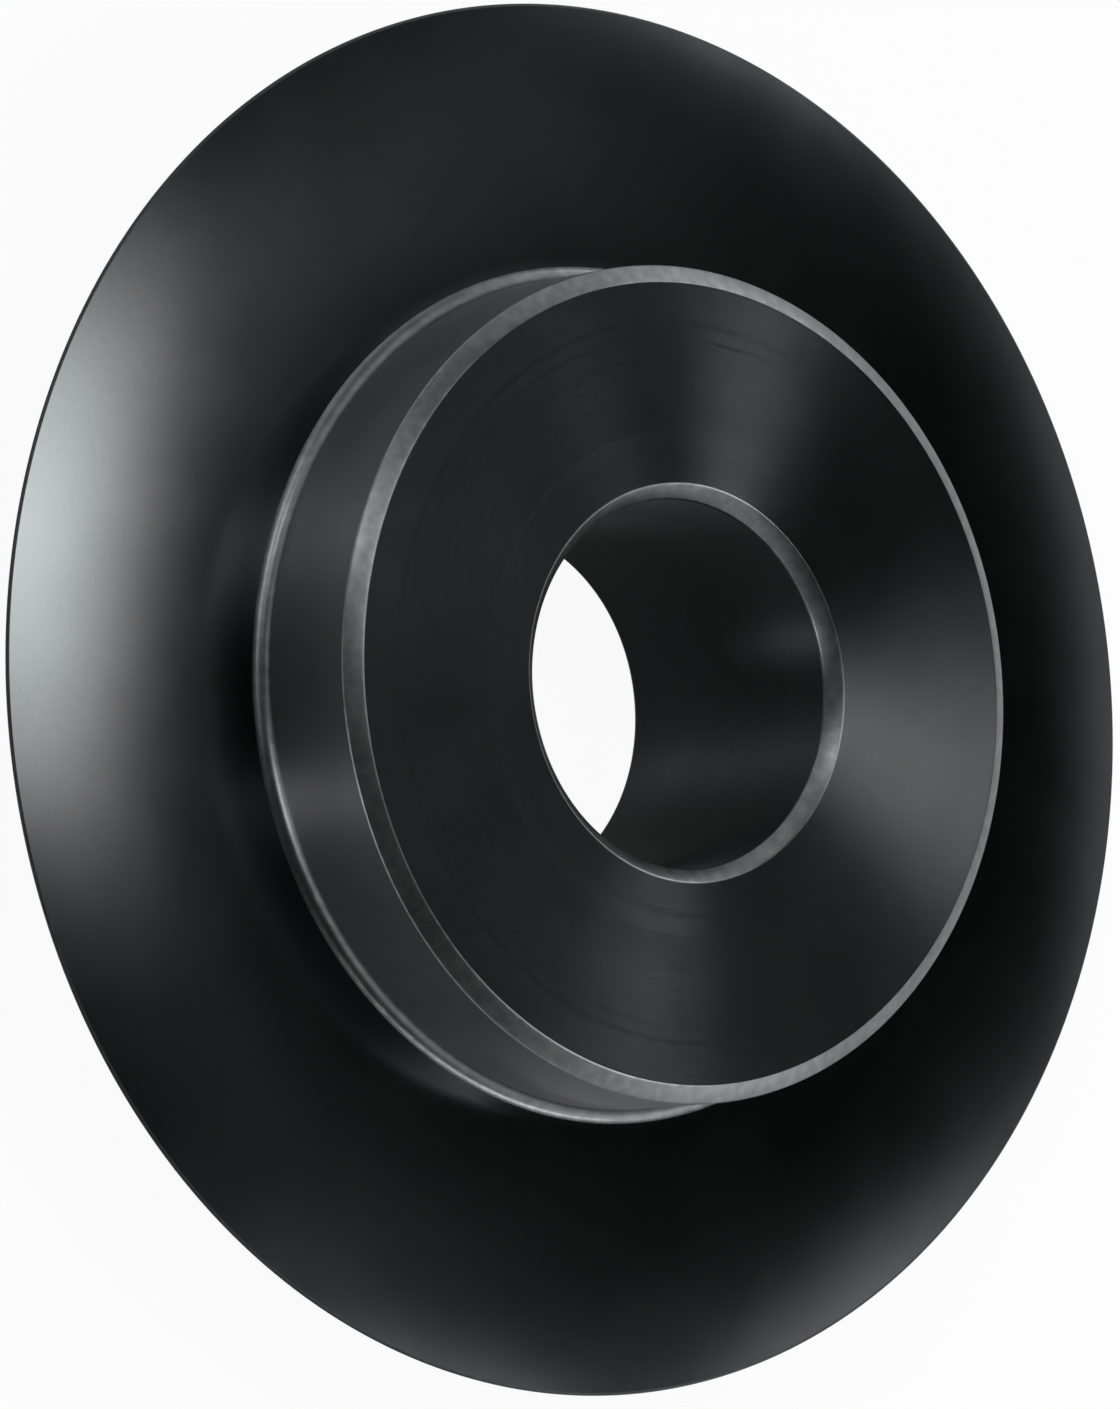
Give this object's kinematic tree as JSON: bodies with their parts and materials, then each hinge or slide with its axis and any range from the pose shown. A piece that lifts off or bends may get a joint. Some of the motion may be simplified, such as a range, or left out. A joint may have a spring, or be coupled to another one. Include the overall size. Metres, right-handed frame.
{
  "type": "pipe cutter wheel",
  "caption": "Blackened steel cutter wheel: a wide bored hub with chamfered ends carries a thin blade whose curved flanks meet in a sharp round cutting edge.",
  "frame": {"origin": "centre of the lower hub face, on the bore's axis", "axes": "+Z along the bore's axis, from the lower hub face to the upper one; X and Y lie in the plane of the blade and are free, because the wheel is round"},
  "size_m": [0.04, 0.04, 0.0096],
  "materials": {
    "blackened_steel": "hardened tool steel, turned, polished and blackened"
  },
  "bodies": {
    "root": {"cutter_wheel": "blackened_steel"}
  },
  "joints": []
}
